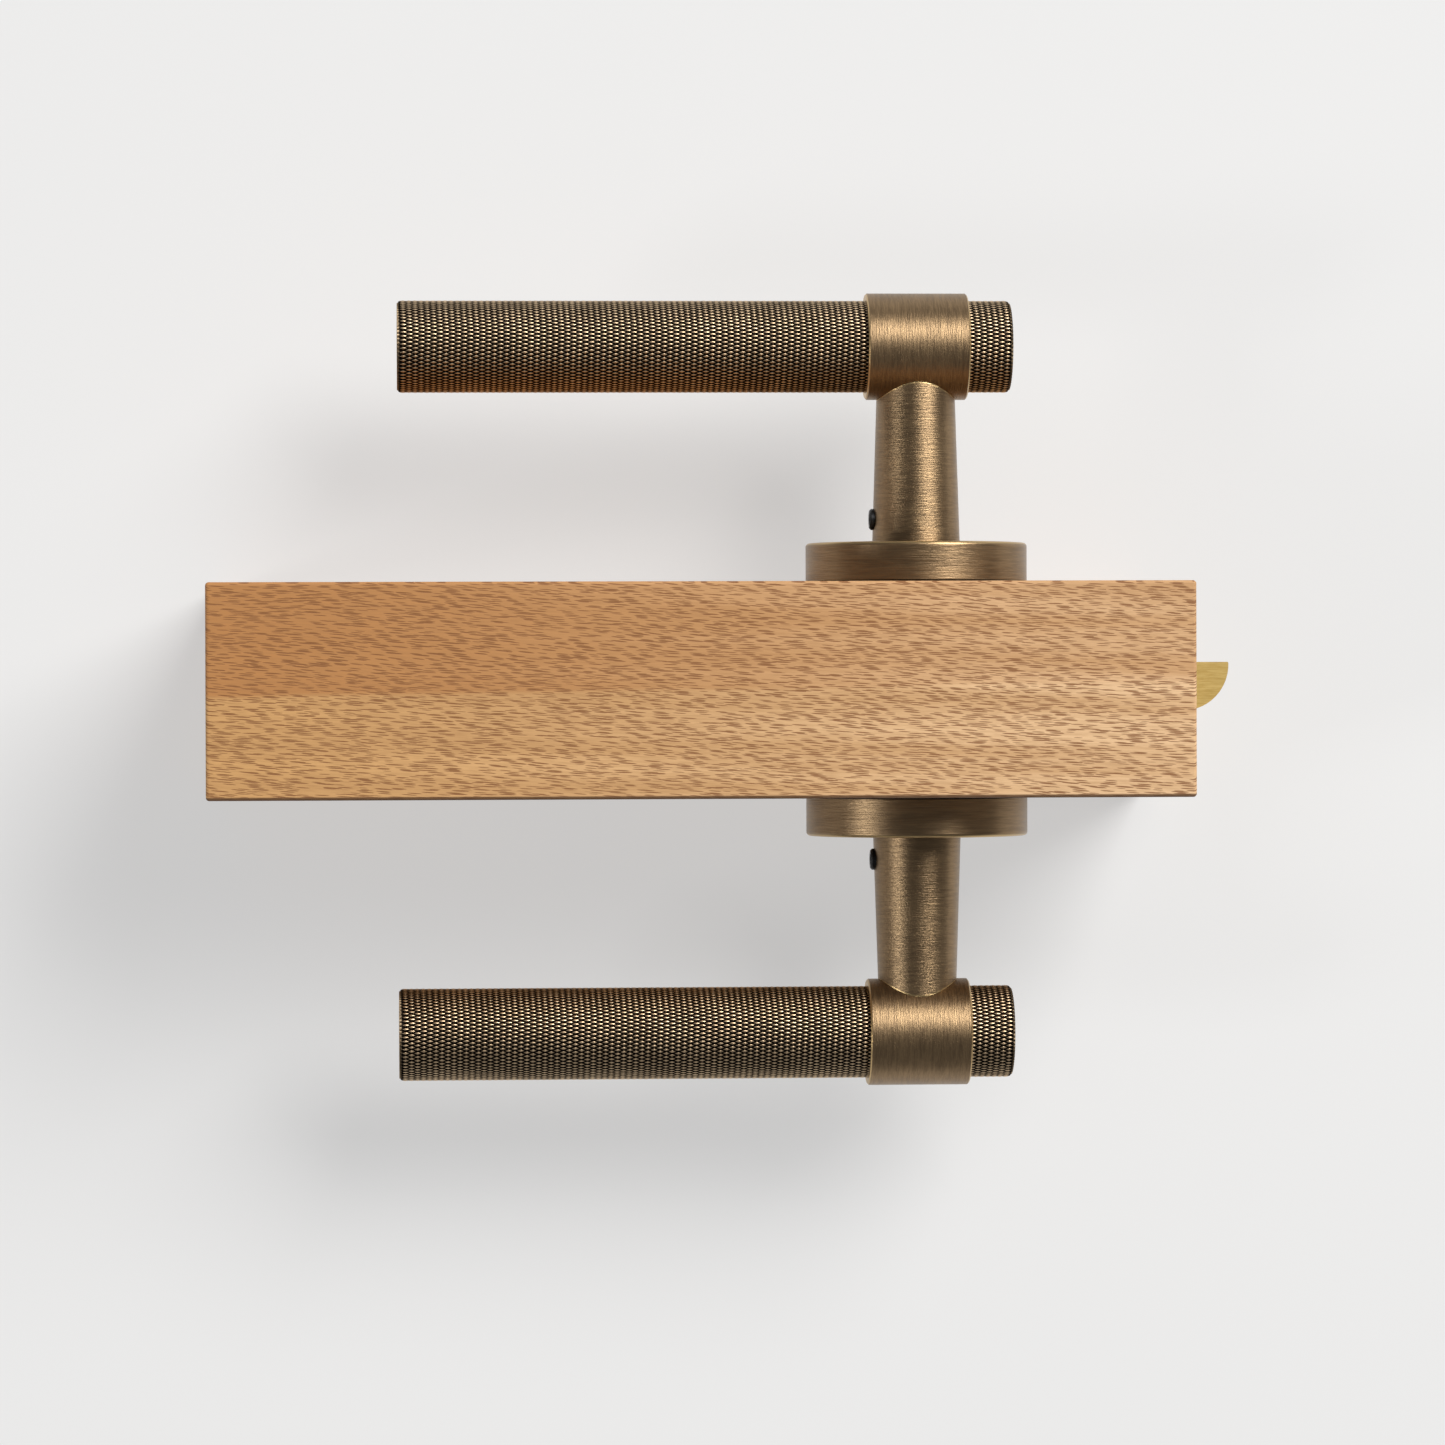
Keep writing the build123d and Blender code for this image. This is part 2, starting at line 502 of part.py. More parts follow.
# Pieces that both lever sets have, made for the back of the block and mirrored for its front
PAIRED = {
    "rose_cover": rose_cover,
    "rose_bush": rose_bush,
    "stop_washer": stop_washer,
    "return_spring": return_spring,
    "retaining_clip": retaining_clip,
    "lever_neck": lever_neck,
    "lever_collar": lever_collar,
    "grip_bar": grip_bar,
    "bar_screw": bar_screw,
    "grub_screw": grub_screw,
}
SINGLE = {
    "display_block": display_block,
    "spindle": spindle,
    "through_bolts": through_bolts,
    "bolt_sleeves": bolt_sleeves,
    "latch_faceplate": latch_faceplate,
    "faceplate_screws": faceplate_screws,
    "latch_case": latch_case,
    "spring_bridge": spring_bridge,
    "bolt_spring": bolt_spring,
    "latch_bolt": latch_bolt,
    "latch_tail": latch_tail,
    "latch_follower": latch_follower,
}


def build():
    """Every node's name and its shape."""
    nodes = {name: make() for name, make in SINGLE.items()}
    for name, make in PAIRED.items():
        piece = make()
        nodes[name + "_back"] = piece
        nodes[name + "_front"] = mirror(piece, about=Plane.XZ)
    nodes["rose_plate_back"] = rose_plate(SLEEVE_D)
    nodes["rose_plate_front"] = mirror(rose_plate(BOLT_D), about=Plane.XZ)
    return nodes


os.makedirs("parts", exist_ok=True)
for node, shape in build().items():
    solids = shape if isinstance(shape, list) else shape.solids()
    export_step(Compound(children=list(solids)), os.path.join("parts", node + ".step"))
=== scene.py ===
"""The look of the door lever set: knurled grips, brushed antique brass, beech and satin brass,
on a pale floor under soft studio light. Lengths are in metres unless a name ends in MM."""

import json
import math

import bpy
import numpy as np
from mathutils import Matrix, Vector


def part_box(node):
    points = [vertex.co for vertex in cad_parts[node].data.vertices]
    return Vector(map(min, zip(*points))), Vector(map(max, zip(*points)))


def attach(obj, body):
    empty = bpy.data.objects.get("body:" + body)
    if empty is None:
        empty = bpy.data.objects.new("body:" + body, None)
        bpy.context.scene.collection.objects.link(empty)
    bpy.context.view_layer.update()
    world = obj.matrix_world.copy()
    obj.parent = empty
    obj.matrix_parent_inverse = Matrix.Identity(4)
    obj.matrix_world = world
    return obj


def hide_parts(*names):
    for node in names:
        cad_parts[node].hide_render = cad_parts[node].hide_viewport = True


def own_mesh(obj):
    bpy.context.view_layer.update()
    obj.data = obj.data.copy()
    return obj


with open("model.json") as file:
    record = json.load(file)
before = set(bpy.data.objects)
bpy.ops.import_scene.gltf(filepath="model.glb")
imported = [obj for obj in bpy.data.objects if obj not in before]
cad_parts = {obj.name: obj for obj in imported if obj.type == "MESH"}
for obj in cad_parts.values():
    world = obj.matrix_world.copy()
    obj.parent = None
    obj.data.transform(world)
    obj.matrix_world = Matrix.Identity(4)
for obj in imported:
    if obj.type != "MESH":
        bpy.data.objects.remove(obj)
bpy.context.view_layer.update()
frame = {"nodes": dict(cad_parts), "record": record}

MM = 0.001
SIDES = ("back", "front")

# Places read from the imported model
BLOCK_LOW, BLOCK_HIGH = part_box("display_block")
GRIP_LOW, GRIP_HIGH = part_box("grip_bar_back")
COLLAR_LOW, COLLAR_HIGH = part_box("lever_collar_back")
ROSE_LOW, ROSE_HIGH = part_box("rose_cover_back")
AXIS_Z = (GRIP_LOW.z + GRIP_HIGH.z) / 2
GRIP_Y = (GRIP_LOW.y + GRIP_HIGH.y) / 2
GRIP_RADIUS = (GRIP_HIGH.z - GRIP_LOW.z) / 2
COLLAR_RADIUS = (COLLAR_HIGH.z - COLLAR_LOW.z) / 2
COLLAR_HALF = (COLLAR_HIGH.x - COLLAR_LOW.x) / 2
ROSE_RADIUS = (ROSE_HIGH.z - ROSE_LOW.z) / 2

# Knurl on the grips
DIAMOND_LENGTH = 2.80 * MM
DIAMONDS_AROUND = 70
KNURL_DEPTH = 0.36 * MM
END_ROUND = 0.6 * MM
DIAMOND_RINGS = ((0.72, 0.54), (0.42, 0.22))  # share of the way out, share of the depth down
END_RINGS = (0.95, 0.5)  # of the flat end's radius

# Spring behind the latch bolt
SPRING_WIRE = 0.9 * MM
SPRING_TURNS = 5
SEAT_GAP = 0.1 * MM  # at each end, to its seat and to the bolt
WIRE_STEPS = 40  # in a turn
WIRE_SIDES = 14

# Camera, almost straight above the block
CAMERA_PLACE = (-0.12881, 0.00119, 1.42899)
CAMERA_TURN = (-0.0064, -0.0600, -0.0036)  # about X, then Y, then its own line of sight
CAMERA_LENS = 146.97
SENSOR_WIDTH = 36.0

# Light
KEY_TOWARDS = (0.66, 0.72, 1.0)
KEY_DISTANCE = 4.0
KEY_SIZE = 2.3
KEY_RADIANCE = 12.3
FILL_TOWARDS = (-1.75, -0.45, 1.0)
FILL_DISTANCE = 3.0
FILL_SIZE = 0.6
FILL_RADIANCE = 17.0
ROOM_OVERHEAD = 0.135
ROOM_WALLS = 0.26
FLOOR_GLOW = 0.49
FLOOR_ALBEDO = 0.33
FLOOR_HALF = 6.0
KEY_TINT = (1.0, 0.985, 0.96)
FILL_TINT = (0.98, 0.99, 1.0)
ROOM_TINT = (0.985, 0.99, 1.0, 1.0)


# ---------------------------------------------------------------- shader arithmetic

class Wire:
    """One number socket in a material. Arithmetic on wires and numbers adds Math nodes."""

    def __init__(self, net, socket):
        self.net = net
        self.socket = socket

    def __add__(self, other):
        return self.net.math("ADD", self, other)

    def __sub__(self, other):
        return self.net.math("SUBTRACT", self, other)

    def __mul__(self, other):
        return self.net.math("MULTIPLY", self, other)

    def __truediv__(self, other):
        return self.net.math("DIVIDE", self, other)

    def __radd__(self, other):
        return self.net.math("ADD", other, self)

    def __rsub__(self, other):
        return self.net.math("SUBTRACT", other, self)

    def __rmul__(self, other):
        return self.net.math("MULTIPLY", other, self)

    def __abs__(self):
        return self.net.math("ABSOLUTE", self)


class Net:
    """The nodes of one material."""

    def __init__(self, name):
        self.material = bpy.data.materials.new(name)
        self.material.use_nodes = True
        self.tree = self.material.node_tree
        self.tree.nodes.clear()
        self.place = self.node("ShaderNodeTexCoord").outputs["Object"]

    def node(self, kind, settings=None, sockets=None):
        """A node of that kind, its settings made first, then its sockets' values or links."""
        made = self.tree.nodes.new(kind)
        for name, value in (settings or {}).items():
            setattr(made, name, value)
        for key, value in (sockets or {}).items():
            socket = made.inputs[key]
            if isinstance(value, Wire):
                value = value.socket
            if isinstance(value, bpy.types.NodeSocket):
                self.tree.links.new(value, socket)
            else:
                socket.default_value = value
        return made

    def wire(self, socket):
        return Wire(self, socket)

    def math(self, operation, *terms, clamp=False):
        settings = {"operation": operation, "use_clamp": clamp}
        made = self.node("ShaderNodeMath", settings, dict(enumerate(terms)))
        return self.wire(made.outputs[0])

    def millimetres(self, centre=(0, 0, 0)):
        """The piece's own coordinates as three wires, in millimetres from a centre in metres."""
        kind = "ShaderNodeVectorMath"
        moved = self.node(kind, {"operation": "SUBTRACT"}, {0: self.place, 1: centre})
        scaled = self.node(kind, {"operation": "SCALE"}, {0: moved.outputs[0], 3: 1 / MM})
        parts = self.node("ShaderNodeSeparateXYZ", sockets={0: scaled.outputs[0]})
        return [self.wire(part) for part in parts.outputs]

    def vector(self, x, y, z):
        return self.node("ShaderNodeCombineXYZ", sockets={0: x, 1: y, 2: z}).outputs[0]

    def noise(self, vector, scale=1.0, detail=2.0, roughness=0.5):
        sockets = {"Vector": vector, "Scale": scale, "Detail": detail, "Roughness": roughness}
        return self.wire(self.node("ShaderNodeTexNoise", sockets=sockets).outputs[0])

    def cells(self, vector):
        """In a flat field of cells: distance to the nearest middle, and its two random numbers."""
        sockets = {"Vector": vector, "Scale": 1.0, "Randomness": CELL_SCATTER}
        made = self.node("ShaderNodeTexVoronoi", {"voronoi_dimensions": "2D"}, sockets)
        parts = self.node("ShaderNodeSeparateColor", sockets={0: made.outputs["Color"]})
        found = made.outputs["Distance"], parts.outputs[0], parts.outputs[1]
        return [self.wire(socket) for socket in found]

    def step(self, value, low, high, to_low=0.0, to_high=1.0):
        """A smooth step: to_low at low, to_high at high, level outside them."""
        sockets = {"Value": value, "From Min": low, "From Max": high}
        sockets.update({"To Min": to_low, "To Max": to_high})
        made = self.node("ShaderNodeMapRange", {"interpolation_type": "SMOOTHSTEP"}, sockets)
        return self.wire(made.outputs[0])

    def mix(self, share, low, high):
        """Two colours mixed by a number."""
        low, high = [(*end, 1.0) if isinstance(end, tuple) else end for end in (low, high)]
        made = self.node("ShaderNodeMix", {"data_type": "RGBA"}, {0: share, 6: low, 7: high})
        return made.outputs[2]

    def bump(self, height, distance, strength=1.0, under=None):
        sockets = {"Height": height, "Distance": distance, "Strength": strength}
        if under is not None:
            sockets["Normal"] = under
        return self.node("ShaderNodeBump", sockets=sockets).outputs[0]

    def surface(self, **sockets):
        """The shader and the output. A socket is named with underscores for its spaces."""
        named = {key.replace("_", " "): value for key, value in sockets.items()}
        shader = self.node("ShaderNodeBsdfPrincipled", sockets=named)
        self.node("ShaderNodeOutputMaterial", sockets={"Surface": shader.outputs[0]})
        return self.material


def squared_sum(net, a, b):
    """Length of the two numbers as a vector."""
    return net.math("SQRT", a * a + b * b)


# ---------------------------------------------------------------- brass

PATINA = (0.205, 0.139, 0.079)
BRONZE = (0.328, 0.223, 0.122)
WORN_AND_HIGHLIGHT = (0.62, 0.44, 0.21)
GROOVE_PATINA_AND_SHADE = (0.006, 0.004, 0.003)
TIP_DULL = (0.55, 0.405, 0.255)
TIP_BRIGHT = (0.76, 0.565, 0.358)
TURNED_END = (0.40, 0.285, 0.16)
SATIN_DARK = (0.47, 0.325, 0.105)
SATIN_LIGHT = (0.58, 0.43, 0.17)
SATIN_CLOUD = (0.38, 0.26, 0.08)


def brushed_brass(name, brushing, edges, relief, dullness):
    """Antique brass: a dark patina rubbed back along fine brush lines, with edges painted bright as
    rubbed wear and a painted highlight.
    brushing(net, x, y, z) gives the coordinates the lines are stretched in, and
    edges(net, x, y, z) how bright an edge is painted, as rubbed wear with a painted highlight, from
    0 to 1.
    relief is the lines' depth in mm and dullness the least roughness."""
    net = Net(name)
    x, y, z = net.millimetres((0, 0, AXIS_Z))
    lines = brushing(net, x, y, z)
    fine = net.noise(lines, 3.4, 3.0, 0.65)
    coarse = net.noise(lines, 1.2, 2.0, 0.5)
    cloud = net.noise(net.vector(x, y, z), 0.09, 3.0, 0.55)
    rubbed = net.step(fine * 0.6 + coarse * 0.4, 0.36, 0.66)
    tone = rubbed * 0.80 + net.step(cloud, 0.35, 0.68) * 0.20
    edge = edges(net, x, y, z)
    metal = net.mix(tone, PATINA, BRONZE)
    # Painted highlight: edges made bright brass, partly rubbed wear and partly the highlight an
    # edge catches.
    metal = net.mix(edge, metal, WORN_AND_HIGHLIGHT)
    rough = dullness + 0.14 * fine + 0.05 * cloud - 0.05 * edge
    normal = net.bump(fine, relief * MM, 1.0, net.bump(coarse, 0.3 * relief * MM, 0.6))
    return net.surface(Base_Color=metal, Metallic=1.0, Roughness=rough, Normal=normal)


def neck_lines(net, x, y, z):
    """Lines round the neck: fine along its length, long round it."""
    return net.vector(x * 0.11, y * 1.3, z * 0.11)


def collar_lines(net, x, y, z):
    return net.vector(x * 1.3, y * 0.11, z * 0.11)


def rose_lines(net, x, y, z):
    """Lines round the rim, and rings on the face."""
    ring = net.math("MINIMUM", squared_sum(net, x, z), ROSE_RADIUS / MM - 1.0)
    return net.vector(x * 0.05, abs(y) * 1.3 + ring * 1.3, z * 0.05)


def neck_edges(net, x, y, z):
    """A bright line where the neck's cut end meets the collar: rubbed wear with a painted
    highlight.
    """
    off_bar = squared_sum(net, abs(y) - GRIP_Y / MM, z)
    return net.step(off_bar, COLLAR_RADIUS / MM + 0.10, COLLAR_RADIUS / MM + 0.45, 1.0, 0.0) * 0.9


def collar_edges(net, x, y, z):
    """Bright rings at the collar's two edges: rubbed wear with a painted highlight."""
    half = COLLAR_HALF / MM
    return net.step(abs(x), half - 0.34, half - 0.14) * 0.85


def rose_edges(net, x, y, z):
    """A bright ring round the front edge of the rim: rubbed wear with a painted highlight."""
    out = squared_sum(net, x, z)
    near_rim = net.step(out, ROSE_RADIUS / MM - 1.3, ROSE_RADIUS / MM - 0.5)
    near_face = net.step(abs(y), ROSE_HIGH.y / MM - 0.75, ROSE_HIGH.y / MM - 0.2)
    return near_rim * near_face * 0.75


def knurled_brass():
    """Dark patina and painted shade in the grooves, tips rubbed bright."""
    net = Net("knurled_antique_brass")
    x, y, z = net.millimetres((0, 0, AXIS_Z))
    out = squared_sum(net, abs(y) - GRIP_Y / MM, z)
    from_end = net.math("MINIMUM", x - GRIP_LOW.x / MM, GRIP_HIGH.x / MM - x)
    radius, depth = GRIP_RADIUS / MM, KNURL_DEPTH / MM
    into_end = net.math("SUBTRACT", 1.0, from_end / (END_ROUND / MM), clamp=True)
    drop = (END_ROUND / MM) * (1.0 - net.math("SQRT", 1.0 - into_end * into_end))  # as in the shape
    height = net.step(out + drop, radius - 0.46 * depth, radius - 0.24 * depth)
    height = net.math("MAXIMUM", height, into_end * 0.8)
    cloud = net.noise(net.vector(x, y, z), 0.16, 3.0, 0.6)
    grain = net.noise(net.vector(x, y, z), 3.1, 2.0, 0.6)
    tips = net.mix(net.step(cloud + 0.3 * grain, 0.45, 0.85), TIP_DULL, TIP_BRIGHT)
    # Grooves near black: dark patina together with painted shade where the grooves fall in shade.
    metal = net.mix(height, GROOVE_PATINA_AND_SHADE, tips)
    end = net.step(from_end, 0.02, 0.06, 1.0, 0.0)
    turned = net.noise(net.vector(0.0, 0.0, out * 3.2), 1.0, 2.0, 0.6)
    metal = net.mix(end, metal, TURNED_END)
    rough = 0.42 - 0.10 * height + 0.10 * grain + 0.17 * end
    normal = net.bump(grain * (1.0 - end) * 0.2 + turned * end, 0.05 * MM, 0.5)
    return net.surface(Base_Color=metal, Metallic=1.0, Roughness=rough, Normal=normal)


def satin_brass():
    """Yellow brass brushed along X."""
    net = Net("satin_brass_brushed")
    x, y, z = net.millimetres((0, 0, AXIS_Z))
    lines = net.noise(net.vector(x * 0.12, y * 1.6, z * 1.6), 2.4, 3.0, 0.65)
    cloud = net.noise(net.vector(x, y, z), 0.25, 2.0, 0.5)
    metal = net.mix(net.step(lines, 0.3, 0.7), SATIN_DARK, SATIN_LIGHT)
    metal = net.mix(net.step(cloud, 0.4, 0.8) * 0.20, metal, SATIN_CLOUD)
    rough = 0.46 + 0.14 * lines
    normal = net.bump(lines, 0.02 * MM, 0.5)
    return net.surface(Base_Color=metal, Metallic=1.0, Roughness=rough, Normal=normal)


# ---------------------------------------------------------------- beech

BEECH_PALE_LEFT = (0.645, 0.364, 0.142)
BEECH_PALE_RIGHT = (0.855, 0.583, 0.338)
BEECH_BAND = (0.500, 0.270, 0.105)
BEECH_BOARD = (0.440, 0.185, 0.055)
BEECH_FIBRE = (0.340, 0.165, 0.060)
BEECH_FLECK = (0.215, 0.083, 0.025)
BEECH_BEVEL_SHADE = (0.120, 0.055, 0.024)
CELL_SCATTER = 0.75

# Ray flecks, long and short: spacing along and across the grain in mm, share of places left
# empty, and how dark
FLECKS = ((6.0, 0.42, 0.22, 1.0), (4.2, 0.36, 0.55, 0.8))


def beech():
    """Beech with its length along X: broad soft bands, fine fibres and short dark ray flecks."""
    net = Net("beech_oiled")
    x, y, z = net.millimetres()
    wander = net.noise(net.vector(x * 0.012, y * 0.05, z * 0.05), 1.0, 2.0, 0.5)
    lean = y + x * 0.055 + wander * 2.5
    depth = z + wander * 2.5
    bands = net.noise(net.vector(x * 0.006, (y + x * 0.02) * 0.17, depth * 0.17), 1.0, 3.0, 0.55)
    fibre = net.noise(net.vector(x * 0.16, lean * 2.6, depth * 2.6), 1.0, 4.0, 0.65)
    board = net.step(y - x * 0.012 + 1.2 * net.noise(net.vector(x * 0.03, 0.0, z * 0.08)), 0.6, 2.2)
    tint = net.step(x + 30 * bands, -150.0, 60.0, 1.0, 0.30)
    pale = net.mix(net.step(x, -165.0, 60.0), BEECH_PALE_LEFT, BEECH_PALE_RIGHT)
    wood = net.mix(net.step(bands, 0.30, 0.74) * 0.55 + 0.12, pale, BEECH_BAND)
    wood = net.mix(board * tint * 0.80, wood, BEECH_BOARD)
    wood = net.mix(net.step(fibre, 0.30, 0.75) * 0.42, wood, BEECH_FIBRE)

    across = lean + depth * 0.8
    shade = 0.0
    for length, width, share, dark in FLECKS:
        near, chance, size = net.cells(net.vector(x / length + across * 0.4, across / width, 0.0))
        reach = 0.26 + 0.16 * size
        fleck = net.math("SUBTRACT", 1.0, near / reach, clamp=True)
        shade = shade + net.step(fleck, 0.02, 0.30) * net.step(chance, share, share + 0.03) * dark
    shade = net.math("MINIMUM", shade, 1.0)
    wood = net.mix(shade * 0.86, wood, BEECH_FLECK)
    # Painted shade: the rounded top edge on the -Y side is darkened where the light leaves that
    # side in shade.
    shaded_bevel = net.step(0.0 - y, BLOCK_HIGH.y / MM - 0.95, BLOCK_HIGH.y / MM - 0.55)
    shaded_bevel = shaded_bevel * net.step(z, BLOCK_HIGH.z / MM - 1.2, BLOCK_HIGH.z / MM - 0.6)
    wood = net.mix(shaded_bevel * 0.85, wood, BEECH_BEVEL_SHADE)
    rough = 0.50 + 0.12 * fibre + 0.10 * shade
    height = fibre * 0.4 - shade * 0.6
    normal = net.bump(height, 0.06 * MM, 0.45)
    return net.surface(Base_Color=wood, Roughness=rough, Normal=normal, Specular_IOR_Level=0.35)


# ---------------------------------------------------------------- small and hidden parts

def turned_steel(name, light, dark, roughness, metallic=1.0):
    """Plain steel or nylon, mottled and finely scratched."""
    net = Net(name)
    x, y, z = net.millimetres((0, 0, AXIS_Z))
    mottle = net.noise(net.vector(x, y, z), 0.6, 3.0, 0.6)
    scratch = net.noise(net.vector(x * 0.6, y * 4.0, z * 0.6), 1.0, 2.0, 0.6)
    colour = net.mix(net.step(mottle * 0.6 + scratch * 0.4, 0.35, 0.65), dark, light)
    rough = roughness + 0.12 * scratch
    normal = net.bump(scratch, 0.012 * MM, 0.4)
    return net.surface(Base_Color=colour, Metallic=metallic, Roughness=rough, Normal=normal)


# ---------------------------------------------------------------- knurled grips

def new_piece(name, places, faces, material):
    """A mesh piece from an array of places and a list of face index arrays."""
    mesh = bpy.data.meshes.new(name)
    corners = np.concatenate([rows.ravel() for rows in faces]).astype(np.int32)
    sizes = np.concatenate([np.full(len(rows), rows.shape[1]) for rows in faces]).astype(np.int32)
    starts = np.concatenate([[0], np.cumsum(sizes)[:-1]]).astype(np.int32)
    mesh.vertices.add(len(places))
    mesh.vertices.foreach_set("co", np.asarray(places, np.float32).ravel())
    mesh.loops.add(len(corners))
    mesh.loops.foreach_set("vertex_index", corners)
    mesh.polygons.add(len(sizes))
    mesh.polygons.foreach_set("loop_start", starts)
    mesh.polygons.foreach_set("loop_total", sizes)
    mesh.update(calc_edges=True)
    mesh.validate()
    mesh.materials.append(material)
    piece = bpy.data.objects.new(name, mesh)
    bpy.context.scene.collection.objects.link(piece)
    return piece


def knurled_grip(name, centre_y, material):
    """A bar along X covered in long raised diamonds.
    Half steps I run along the bar and J round it. A diamond stands where I + J is even, and
    the corners it shares with its neighbours, where the grooves cross, are at I + J odd. Inside
    its four corners lie two smaller diamonds and a tip, each a share of the way in and higher:
    place = centre + share * (corner - centre), radius = bar radius - depth * lowering - drop,
    where drop = r * (1 - sqrt(1 - t ** 2)) rounds the ends, and t = 1 - distance to the end / r."""
    rows = 2 * int(round((GRIP_HIGH.x - GRIP_LOW.x) / DIAMOND_LENGTH))
    around = 2 * DIAMONDS_AROUND
    stride = (GRIP_HIGH.x - GRIP_LOW.x) / rows
    turn = 2 * math.pi / around

    steps_i, steps_j = np.meshgrid(np.arange(rows + 1), np.arange(around), indexing="ij")
    odd = (steps_i + steps_j) % 2 == 1
    corner_number = np.full(odd.shape, -1)
    corner_number[odd] = np.arange(odd.sum())
    corner_i, corner_j = steps_i[odd], steps_j[odd]
    along, angle = [corner_i * stride], [corner_j * turn]
    lowering = [np.ones(len(corner_i))]

    inside = ~odd & (steps_i > 0) & (steps_i < rows)
    ci, cj = steps_i[inside], steps_j[inside]
    offsets = np.array([(-1, 0), (0, -1), (1, 0), (0, 1)])
    loops = [corner_number[ci[:, None] + offsets[:, 0], (cj[:, None] + offsets[:, 1]) % around]]
    count = odd.sum()
    for share, low in DIAMOND_RINGS:
        along.append(((ci[:, None] + share * offsets[:, 0]) * stride).ravel())
        angle.append(((cj[:, None] + share * offsets[:, 1]) * turn).ravel())
        lowering.append(np.full(4 * len(ci), low))
        loops.append(count + np.arange(4 * len(ci)).reshape(-1, 4))
        count += 4 * len(ci)
    along.append(ci * stride)
    angle.append(cj * turn)
    lowering.append(np.zeros(len(ci)))
    tips = count + np.arange(len(ci))
    count += len(ci)

    faces = []
    for outer, inner in zip(loops[:-1], loops[1:]):
        for k in range(4):
            n = (k + 1) % 4
            faces.append(np.stack([outer[:, k], outer[:, n], inner[:, n], inner[:, k]], 1))
    triangles = [np.stack([loops[-1][:, k], loops[-1][:, (k + 1) % 4], tips], 1) for k in range(4)]

    # Half a diamond at each end, between two corners on the end ring and one inside it
    end_rings = []
    for end, inward in ((0, 1), (rows, -1)):
        js = np.arange(end % 2, around, 2)
        before, after = corner_number[end, (js - 1) % around], corner_number[end, (js + 1) % around]
        inner = corner_number[end + inward, js]
        middle = count + np.arange(len(js))
        count += len(js)
        along.append(np.full(len(js), end * stride))
        angle.append(js * turn)
        lowering.append(np.zeros(len(js)))
        one = np.stack([before, inner, middle], 1)
        two = np.stack([middle, inner, after], 1)
        triangles += [one[:, ::inward], two[:, ::inward]]
        ring = np.empty(around, int)
        ring[js] = middle
        ring[(js + 1) % around] = after
        end_rings.append(ring)

    along, angle = np.concatenate(along), np.concatenate(angle)
    radius = GRIP_RADIUS - KNURL_DEPTH * np.concatenate(lowering)
    into_end = np.clip(1 - np.minimum(along, rows * stride - along) / END_ROUND, 0, 1)
    radius -= END_ROUND * (1 - np.sqrt(1 - into_end ** 2))
    y, z = centre_y + radius * np.cos(angle), AXIS_Z + radius * np.sin(angle)
    places = [np.stack([GRIP_LOW.x + along, y, z], 1)]

    # Flat turned ends: rings of the same count drawn in to a centre
    theta = np.arange(around) * turn
    for ring, x, inward in ((end_rings[0], GRIP_LOW.x, 1), (end_rings[1], GRIP_HIGH.x, -1)):
        outer = ring
        for share in END_RINGS:
            size = share * (GRIP_RADIUS - END_ROUND)
            y, z = centre_y + size * np.cos(theta), AXIS_Z + size * np.sin(theta)
            places.append(np.stack([np.full(around, x), y, z], 1))
            inner = count + np.arange(around)
            count += around
            quad = np.stack([outer, np.roll(outer, -1), np.roll(inner, -1), inner], 1)
            faces.append(quad[:, ::-inward])
            outer = inner
        places.append(np.array([[x, centre_y, AXIS_Z]]))
        fan = np.stack([outer, np.roll(outer, -1), np.full(around, count)], 1)
        count += 1
        triangles.append(fan[:, ::-inward])

    return new_piece(name, np.concatenate(places), faces + triangles, material)


# ---------------------------------------------------------------- latch spring

def wound_wire(name, low, high, wire, turns, material):
    """A round wire wound round a line along X, between two corners of its box, with flat ends.
    Centre line at t turns: (x0 + pitch * t, y0 + R * cos(2 pi t), z0 + R * sin(2 pi t)).
    The section is a circle across it: centre + w * (cos a * outwards + sin a * sideways)."""
    steps, sides = WIRE_STEPS * turns, WIRE_SIDES
    t = np.linspace(0, turns, steps + 1)[:, None]
    a = np.arange(sides) * 2 * math.pi / sides
    size = (high.y - low.y) / 2 - wire / 2
    rise = (high.x - low.x - wire) / turns
    angle = 2 * math.pi * t
    zero = np.zeros_like(t)
    outwards = np.stack([zero, np.cos(angle), np.sin(angle)], -1)
    around = np.stack([zero, -np.sin(angle), np.cos(angle)], -1)
    run = np.hypot(rise, 2 * math.pi * size)
    sideways = (2 * math.pi * size * np.array([1.0, 0.0, 0.0]) - rise * around) / run
    along = np.concatenate([low.x + wire / 2 + rise * t, zero, zero], 1)[:, None, :]
    middle = along + size * outwards
    middle += np.array([0.0, (low.y + high.y) / 2, (low.z + high.z) / 2])
    places = middle + wire / 2 * (np.cos(a)[:, None] * outwards + np.sin(a)[:, None] * sideways)
    number = np.arange((steps + 1) * sides).reshape(steps + 1, sides)
    here, there = number[:-1], number[1:]
    quads = np.stack([here, there, np.roll(there, -1, 1), np.roll(here, -1, 1)], -1).reshape(-1, 4)
    return new_piece(name, places.reshape(-1, 3), [quads, number[:1], number[-1:, ::-1]], material)


# ---------------------------------------------------------------- dress the model

def dress(node, material):
    """Give a CAD node one material on all its faces."""
    piece = frame["nodes"][node]
    piece.data.materials.clear()
    piece.data.materials.append(material)


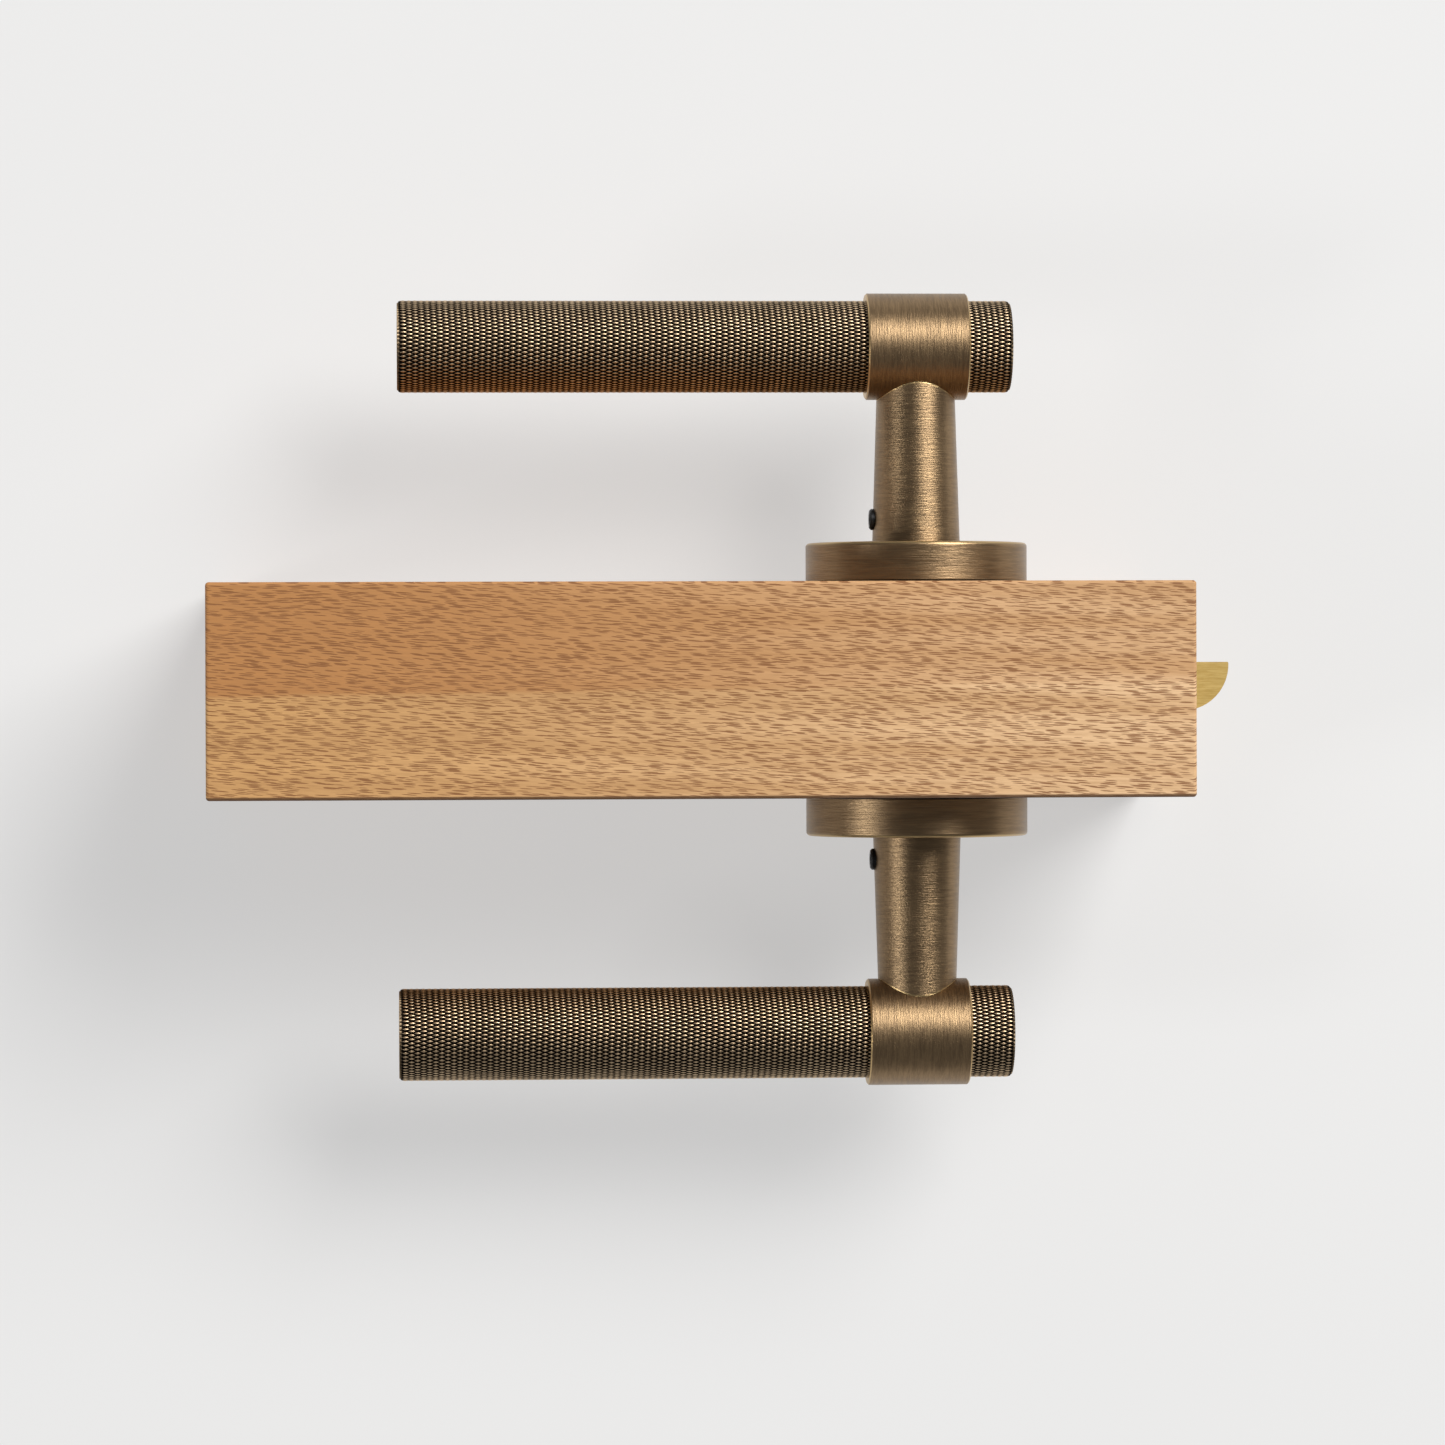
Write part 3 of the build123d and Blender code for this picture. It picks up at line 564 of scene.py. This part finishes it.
NECK = brushed_brass("antique_brass_neck", neck_lines, neck_edges, 0.085, 0.24)
COLLAR = brushed_brass("antique_brass_collar", collar_lines, collar_edges, 0.095, 0.30)
ROSE = brushed_brass("antique_brass_rose", rose_lines, rose_edges, 0.055, 0.24)
GRIP = knurled_brass()
SATIN = satin_brass()
ZINC = turned_steel("zinc_plated_steel", (0.62, 0.63, 0.64), (0.45, 0.46, 0.48), 0.28)
SPRING = turned_steel("spring_steel", (0.34, 0.34, 0.35), (0.20, 0.20, 0.21), 0.34)
BLACK = turned_steel("black_oxide_steel", (0.030, 0.030, 0.032), (0.012, 0.012, 0.013), 0.34, 0.6)
PLATE = turned_steel("dark_coated_steel", (0.060, 0.052, 0.042), (0.030, 0.026, 0.022), 0.50, 0.5)
NYLON = turned_steel("natural_nylon", (0.78, 0.76, 0.71), (0.66, 0.64, 0.59), 0.45, 0.0)

FINISHES = {
    "display_block": beech(),
    "latch_faceplate": SATIN,
    "faceplate_screws": SATIN,
    "latch_bolt": SATIN,
    "lever_neck": NECK,
    "lever_collar": COLLAR,
    "rose_cover": ROSE,
    "grip_bar": GRIP,
    "rose_plate": PLATE,
    "rose_bush": NYLON,
    "grub_screw": BLACK,
    "return_spring": SPRING,
    "retaining_clip": SPRING,
    "bolt_spring": SPRING,
}
for node in frame["nodes"]:
    plain = node.removesuffix("_back").removesuffix("_front")
    dress(node, FINISHES.get(plain, ZINC))

for side, sign in zip(SIDES, (1, -1)):
    grip = knurled_grip("knurled_grip_" + side, sign * GRIP_Y, GRIP)
    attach(grip, "levers")
    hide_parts("grip_bar_" + side)


# The latch's spring, which shortens between its seat and the bolt as the bolt draws in, is drawn at
# one length; the share it would shorten to is worked out but not used
coil_low, coil_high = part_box("bolt_spring")
coil = wound_wire("bolt_spring_coil", coil_low, coil_high, SPRING_WIRE, SPRING_TURNS, SPRING)
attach(coil, "block")
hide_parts("bolt_spring")
room = coil_high.x - coil_low.x + 2 * SEAT_GAP
joints = {joint["name"]: joint for joint in frame["record"]["behaviour"]["joints"]}
travel = joints["bolt_slide"]["range_m"][1]
1 - travel / room
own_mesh(coil)


# ---------------------------------------------------------------- floor, light and camera

def pale_floor():
    """A wide flat sheet under the block, partly self-lit so that shadows on it stay light."""
    net = Net("pale_floor")
    x, y, z = net.millimetres()
    mottle = net.noise(net.vector(x, y, z), 0.004, 2.0, 0.5)
    tone = net.mix(mottle, (FLOOR_ALBEDO, FLOOR_ALBEDO, FLOOR_ALBEDO), (0.96 * FLOOR_ALBEDO,) * 3)
    material = net.surface(Base_Color=tone, Roughness=0.9, Specular_IOR_Level=0.0,
                           Emission_Color=(1.0, 1.0, 1.0, 1.0), Emission_Strength=FLOOR_GLOW)
    half = FLOOR_HALF
    places = np.array([(-half, -half, 0), (half, -half, 0), (half, half, 0), (-half, half, 0)])
    return new_piece("studio_floor", places, [np.array([[0, 1, 2, 3]])], material)


def area_light(name, towards, distance, size, radiance, colour):
    """A square soft box that faces the middle of the object.
    power = radiance * pi * size squared."""
    lamp = bpy.data.lights.new(name, "AREA")
    lamp.shape = "SQUARE"
    lamp.size = size
    lamp.energy = radiance * math.pi * size ** 2
    lamp.color = colour
    holder = bpy.data.objects.new(name, lamp)
    direction = Vector(towards).normalized()
    holder.location = Vector((0, 0, AXIS_Z)) + direction * distance
    holder.rotation_euler = direction.to_track_quat("Z", "Y").to_euler()
    bpy.context.scene.collection.objects.link(holder)


def soft_world():
    """Even light from all round, a little darker overhead."""
    world = bpy.data.worlds.new("soft_studio")
    bpy.context.scene.world = world
    world.use_nodes = True
    tree = world.node_tree
    tree.nodes.clear()
    place = tree.nodes.new("ShaderNodeTexCoord")
    parts = tree.nodes.new("ShaderNodeSeparateXYZ")
    ramp = tree.nodes.new("ShaderNodeMapRange")
    ramp.inputs["From Min"].default_value = 0.0
    ramp.inputs["From Max"].default_value = 1.0
    ramp.inputs["To Min"].default_value = ROOM_WALLS
    ramp.inputs["To Max"].default_value = ROOM_OVERHEAD
    glow = tree.nodes.new("ShaderNodeBackground")
    glow.inputs["Color"].default_value = ROOM_TINT
    out = tree.nodes.new("ShaderNodeOutputWorld")
    tree.links.new(place.outputs["Generated"], parts.inputs[0])
    tree.links.new(parts.outputs["Z"], ramp.inputs["Value"])
    tree.links.new(ramp.outputs[0], glow.inputs["Strength"])
    tree.links.new(glow.outputs[0], out.inputs["Surface"])


def studio_camera():
    lens = bpy.data.cameras.new("studio_camera")
    lens.lens = CAMERA_LENS
    lens.sensor_width = SENSOR_WIDTH
    lens.clip_end = 50.0
    holder = bpy.data.objects.new("studio_camera", lens)
    pitch, yaw, roll = CAMERA_TURN
    turn = Matrix.Rotation(pitch, 4, "X") @ Matrix.Rotation(yaw, 4, "Y")
    turn = turn @ Matrix.Rotation(roll, 4, "Z")
    holder.matrix_world = Matrix.Translation(CAMERA_PLACE) @ turn
    bpy.context.scene.collection.objects.link(holder)
    bpy.context.scene.camera = holder


pale_floor()
area_light("key_softbox", KEY_TOWARDS, KEY_DISTANCE, KEY_SIZE, KEY_RADIANCE, KEY_TINT)
area_light("fill_softbox", FILL_TOWARDS, FILL_DISTANCE, FILL_SIZE, FILL_RADIANCE, FILL_TINT)
soft_world()
studio_camera()
bpy.context.scene.view_settings.view_transform = "Standard"
